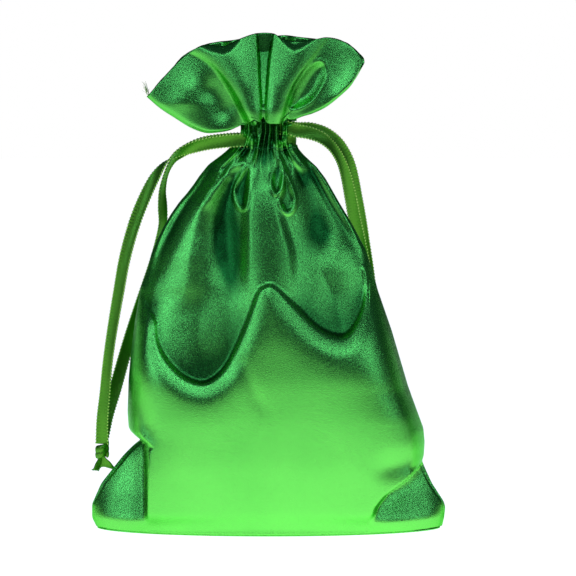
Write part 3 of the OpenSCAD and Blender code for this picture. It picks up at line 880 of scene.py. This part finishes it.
def frill_grid(side):
    """Points of the front or back half of the frill, rows from the neck up, columns from left to right."""
    rows, cols = FRILL_SIZE
    hem = FRILL_HEM if side == FRONT else FRILL_HEM_BACK
    flat = coons(FRILL_NECK, hem, FRILL_LEFT, FRILL_RIGHT, rows, cols)
    x, z = flat[..., 0], flat[..., 1]
    u = np.linspace(0, 1, cols)[None, :] + 0 * x
    v = np.linspace(0, 1, rows)[:, None] + 0 * x
    depth = frill_front_depth(x, z, u, v) if side == FRONT else frill_back_depth(x, u, v)
    return np.stack([x, side * depth, z], axis=-1)


HEM_ROWS = 10


def make_frill(side):
    """One half of the frill with its turned hem."""
    name = "front" if side == FRONT else "back"
    grid = frill_grid(side)
    heading = sheet_mesh(f"{name}_satin_heading", grid, SATIN, flip=side == BACK)
    # Painted shade: the heading's colour darkens in its hollows, and a little everywhere
    paint_hollow_shade(heading, side * grid[..., 1], 6, 4.0, 0.5, 0.2)
    layer = grid[-HEM_ROWS:, 12:-12].copy()
    layer[..., 1] -= side * 0.45
    layer[..., 2] -= 0.15
    hem = sheet_mesh(f"{name}_turned_hem", layer, SATIN, flip=side == BACK)
    for piece, replaced in ((heading, f"{name}_heading"), (hem, f"{name}_top_hem")):
        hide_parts(replaced)
        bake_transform(piece)


make_frill(FRONT)
make_frill(BACK)


# ---------------------------------------------------------------- base, seams and casing parts

def make_base():
    """The lens-shaped bottom that the bag stands on, tucked in a little under its walls."""
    half_x, half_y = (half - tuck for half, tuck in zip(BASE_HALF, BASE_TUCK))
    steps, rings = 120, 8
    points = [(0, 0, 0.35)]
    for r in range(1, rings + 1):
        share = r / rings
        for i in range(steps):
            a = 2 * math.pi * i / steps
            puff = 0.25 * (1 - share ** 4) + 0.1 * math.sin(5 * a) * share * (1 - share)
            points.append((half_x * share * math.cos(a), half_y * share * math.sin(a), max(puff, 0)))
    faces = [(0, 1 + i, 1 + (i + 1) % steps) for i in range(steps)]
    for r in range(rings - 1):
        a, b = 1 + r * steps, 1 + (r + 1) * steps
        faces += [(a + i, b + i, b + (i + 1) % steps, a + (i + 1) % steps) for i in range(steps)]
    piece = new_mesh("satin_base_fold", points, faces, SATIN)
    solid = piece.modifiers.new("thickness", "SOLIDIFY")
    solid.thickness = 0.6 * MM
    solid.offset = 1
    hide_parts("base_fold")
    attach(piece, "bag")


make_base()


def ride_bag(piece, replaced):
    """Fixes a piece to the bag, in place of one CAD node."""
    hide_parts(replaced)
    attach(piece, "bag")


def make_casing_loop(exit_side, name, z):
    """The part of a drawstring inside the casing, round the end away from its exit."""
    far = -exit_side
    turn, y = 4.6 * far, 6.9
    points = [(-0.5 * far, -y), (2 * far, -y)]
    bend = np.linspace(-math.pi / 2, math.pi / 2, 13)
    points += [(turn + far * y * math.cos(a), y * math.sin(a)) for a in bend]
    points += [(2 * far, y), (-0.5 * far, y)]
    route = [(px, py, z, 90) for px, py in points]
    piece, _, _ = make_ribbon(f"{name}_satin_ribbon_in_casing", route)
    ride_bag(piece, f"{name}_ribbon_in_casing")


make_casing_loop(LEFT, "left", 166.5)
make_casing_loop(RIGHT, "right", 172.6)


def make_lining(side):
    """The turned-in layer that closes the ribbon channel, gathered with the casing."""
    name = "front" if side == FRONT else "back"
    x = np.linspace(-8.4, 8.4, 60)[None, :]
    z = np.linspace(CASING_Z, CASING_END - 0.5, 24)[:, None]
    y = side * (5.7 + 0.25 * np.cos(x * 2.6) + 0 * z)
    grid = np.stack([x + 0 * z, y, z + 0 * x], axis=-1)
    piece = sheet_mesh(f"{name}_gathered_lining", grid, SATIN_REVERSE, flip=side == BACK)
    ride_bag(piece, f"{name}_casing_lining")


make_lining(FRONT)
make_lining(BACK)


def stitch(points, faces, centre, along, length, radius):
    """Adds one rounded stitch to a list of points and faces."""
    along = along / np.linalg.norm(along)
    side = np.cross(along, (0.0, 0.3, 1.0))
    side /= np.linalg.norm(side)
    up = np.cross(along, side)
    first = len(points)
    rings, ring = [(-0.5, 0.35), (-0.36, 0.9), (0, 1.0), (0.36, 0.9), (0.5, 0.35)], 8
    for t, share in rings:
        for k in range(ring):
            a = 2 * math.pi * k / ring
            out = side * math.cos(a) + up * math.sin(a)
            points.append(centre + along * t * length + radius * share * out)
    faces.extend(tube_faces(first, len(rings), ring))


def make_casing_stitches(name, z):
    """A row of stitches round the neck, lying on the front and the back of the casing."""
    points, faces = [], []
    for grid in (front_grid, back_grid):
        row = grid[int(np.argmin(np.abs(BODY_ROWS - z)))]
        run = np.concatenate([[0], np.cumsum(np.linalg.norm(np.diff(row, axis=0), axis=1))])
        for at in np.arange(3, run[-1] - 3, 2.4):
            centre = np.array([np.interp(at, run, row[:, k]) for k in range(3)])
            ahead = np.array([np.interp(at + 0.6, run, row[:, k]) for k in range(3)])
            waver = np.array([0, 0, 0.4 * math.sin(centre[0] * 0.8)])
            stitch(points, faces, centre + waver, ahead - centre, 1.7, 0.2)
    piece = new_mesh(f"{name}_row_of_stitches", points, faces, THREAD)
    ride_bag(piece, f"{name}_casing_stitches")


make_casing_stitches("lower", CASING_Z + 0.2)
make_casing_stitches("upper", CASING_END - 0.6)


SEAM_THICK = 0.5
SEAM_WIDTH = 5.0
SEAM_INSET = 1.6


def make_side_seam(side, name, edge):
    """The turned-in allowance at one side of the bag, and the stitches along it."""
    z = np.linspace(6, 150, 60)[:, None]
    outer = rounded(z, edge, 1.6) - side * SEAM_INSET
    share = np.linspace(0, 1, 6)[None, :]
    x = outer - side * SEAM_WIDTH * share
    y = 0.12 * np.sin(z * 0.35) * share
    grid = np.stack([x, y + 0 * x - 0.2, z + 0 * x], axis=-1)
    piece = sheet_mesh(f"{name}_turned_in_seam", grid, SATIN_REVERSE, SEAM_THICK, flip=side == LEFT)
    ride_bag(piece, f"{name}_side_seam")
    points, faces = [], []
    for at in range(10, 148, 4):
        edge_x = float(rounded(np.array([float(at)]), edge, 1.6)[0]) - side * 3.6
        stitch(points, faces, np.array([edge_x, -0.5, at]), np.array([0, 0, 1.0]), 2.8, 0.22)
    piece = new_mesh(f"{name}_seam_thread", points, faces, THREAD)
    ride_bag(piece, f"{name}_seam_stitches")


make_side_seam(LEFT, "left", LEFT_EDGE)
make_side_seam(RIGHT, "right", RIGHT_EDGE)


def make_bottom_seam():
    """The turned-in allowance of the seam along the bottom."""
    x = np.linspace(-54, 54, 80)[None, :]
    z = np.linspace(1.4, 7, 8)[:, None]
    y = 0.3 * np.sin(x * 0.12) * (z - 1.4) / 5.6
    grid = np.stack([x + 0 * z, y, z + 0 * x], axis=-1)
    piece = sheet_mesh("turned_in_bottom_seam", grid, SATIN_REVERSE, SEAM_THICK)
    ride_bag(piece, "bottom_seam_allowance")


make_bottom_seam()


TUFT_AT = np.array([-51.3, 0, 185.0])


def make_tuft():
    """Frayed threads at the left tip of the frill."""
    rng = np.random.default_rng(SEED)
    points, faces = [], []
    for _ in range(14):
        at = TUFT_AT + np.array([rng.uniform(-0.4, 0.4), rng.uniform(-0.5, 0.5), rng.uniform(0, 2.5)])
        step = np.array([rng.uniform(-0.5, 0.15), rng.uniform(-0.3, 0.3), rng.uniform(0.5, 1.0)])
        bend = rng.uniform(-0.16, 0.16, 3)
        first = len(points)
        for i in range(6):
            radius = 0.16 * (1 - 0.12 * i)
            for k in range(5):
                a = 2 * math.pi * k / 5
                points.append(at + radius * np.array([math.cos(a), math.sin(a), 0]))
            at = at + step * 0.75
            step = step + bend
        faces += tube_faces(first, 6, 5, capped=False)
    piece = new_mesh("frayed_thread_tuft", points, faces, TUFT)
    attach(piece, "bag")


make_tuft()


# ---------------------------------------------------------------- stage and light

CEILING = (0.016, 0.035, 0.075)
TEAL = (0.7, 0.95, 1.7)
# The floor's brightness near the bag, far to its sides and far in front of it
FLOOR_GLOW = 1.0
FLOOR_EDGE_GLOW = 0.22
FLOOR_FRONT_GLOW = 0.10


def floor_material():
    """A pale floor, lit from within: bright round the bag, dimmer to its sides and further in front."""
    material = bpy.data.materials.new("pale_floor")
    material.use_nodes = True
    tree = material.node_tree
    shader = tree.nodes["Principled BSDF"]
    shader.inputs["Base Color"].default_value = (0.8, 0.8, 0.8, 1)
    shader.inputs["Roughness"].default_value = 0.9
    shader.inputs["Specular IOR Level"].default_value = 0.1
    place = tree.nodes.new("ShaderNodeTexCoord")
    split = tree.nodes.new("ShaderNodeSeparateXYZ")
    tree.links.new(place.outputs["Object"], split.inputs["Vector"])
    across, along = (math_node(tree, "ABSOLUTE", split.outputs[axis]) for axis in ("X", "Y"))
    spread = math_node(tree, "MULTIPLY_ADD", along, -0.25, across)
    sides = fade_node(tree, spread, 0.32, 0.75, FLOOR_GLOW, FLOOR_EDGE_GLOW)
    front = fade_node(tree, split.outputs["Y"], -0.62, -0.14, FLOOR_FRONT_GLOW, FLOOR_GLOW)
    shader.inputs["Emission Color"].default_value = (1, 1, 1, 1)
    tree.links.new(math_node(tree, "MULTIPLY", sides, front), shader.inputs["Emission Strength"])
    return material


def fade_node(tree, value, start, end, first, last):
    """A smooth change from first to last as value goes from start to end."""
    made = tree.nodes.new("ShaderNodeMapRange")
    made.interpolation_type = "SMOOTHSTEP"
    for key, setting in (("From Min", start), ("From Max", end), ("To Min", first), ("To Max", last)):
        made.inputs[key].default_value = setting
    tree.links.new(value, made.inputs["Value"])
    return made.outputs["Result"]


def make_stage():
    """The floor that the bag stands on."""
    bpy.ops.mesh.primitive_plane_add(size=8, location=(0, 0, 0))
    floor = bpy.context.object
    floor.name = "floor"
    floor.data.materials.append(floor_material())


def make_light(name, size, radiance, at, aim, colour=(1, 1, 1)):
    """A soft box, with the brightness it shows when looked at."""
    data = bpy.data.lights.new(name, "AREA")
    data.shape = "RECTANGLE"
    data.size, data.size_y = size
    data.energy = radiance * math.pi * size[0] * size[1]
    data.color = colour
    light = bpy.data.objects.new(name, data)
    bpy.context.scene.collection.objects.link(light)
    light.location = at
    light.rotation_euler = (Vector(aim) - Vector(at)).to_track_quat("-Z", "Y").to_euler()


def make_world():
    """A dark studio with a white wall along the back."""
    world = bpy.data.worlds.new("studio")
    bpy.context.scene.world = world
    world.use_nodes = True
    tree = world.node_tree
    place = tree.nodes.new("ShaderNodeTexCoord")
    split = tree.nodes.new("ShaderNodeSeparateXYZ")
    tree.links.new(place.outputs["Generated"], split.inputs["Vector"])
    height = ramp_node(tree, [(0.0, 1.0), (0.10, 1.0), (0.24, 0.0), (1.0, 0.0)])
    tree.links.new(split.outputs["Z"], height.inputs["Fac"])
    behind = ramp_node(tree, [(0.0, 0.0), (0.92, 0.0), (0.975, 1.0), (1.0, 1.0)])
    tree.links.new(split.outputs["Y"], behind.inputs["Fac"])
    wall = math_node(tree, "MULTIPLY", height.outputs["Color"], behind.outputs["Color"])
    colour = mix_node(tree, wall, CEILING, (1, 1, 1))
    tree.links.new(colour, tree.nodes["Background"].inputs["Color"])


def ramp_node(tree, bands):
    """A ramp of greys through (position, value) bands."""
    ramp = tree.nodes.new("ShaderNodeValToRGB")
    ends = ramp.color_ramp.elements
    for end, (position, value) in zip(ends, (bands[0], bands[-1])):
        end.position = position
        end.color = (value, value, value, 1)
    for position, value in bands[1:-1]:
        ends.new(position).color = (value, value, value, 1)
    return ramp


make_stage()
make_world()
bpy.context.scene.view_settings.view_transform = "Standard"
make_light("top_softbox", (1.2, 0.24), 2.6, (0, -0.66, 0.88), (0, 0, 0.12), TEAL)
make_light("left_softbox", (0.45, 0.6), 2.3, (-1.05, -0.62, 0.60), (0, 0, 0.12), TEAL)
make_light("right_softbox", (0.30, 0.6), 2.1, (1.10, -0.50, 0.60), (0, 0, 0.12), TEAL)
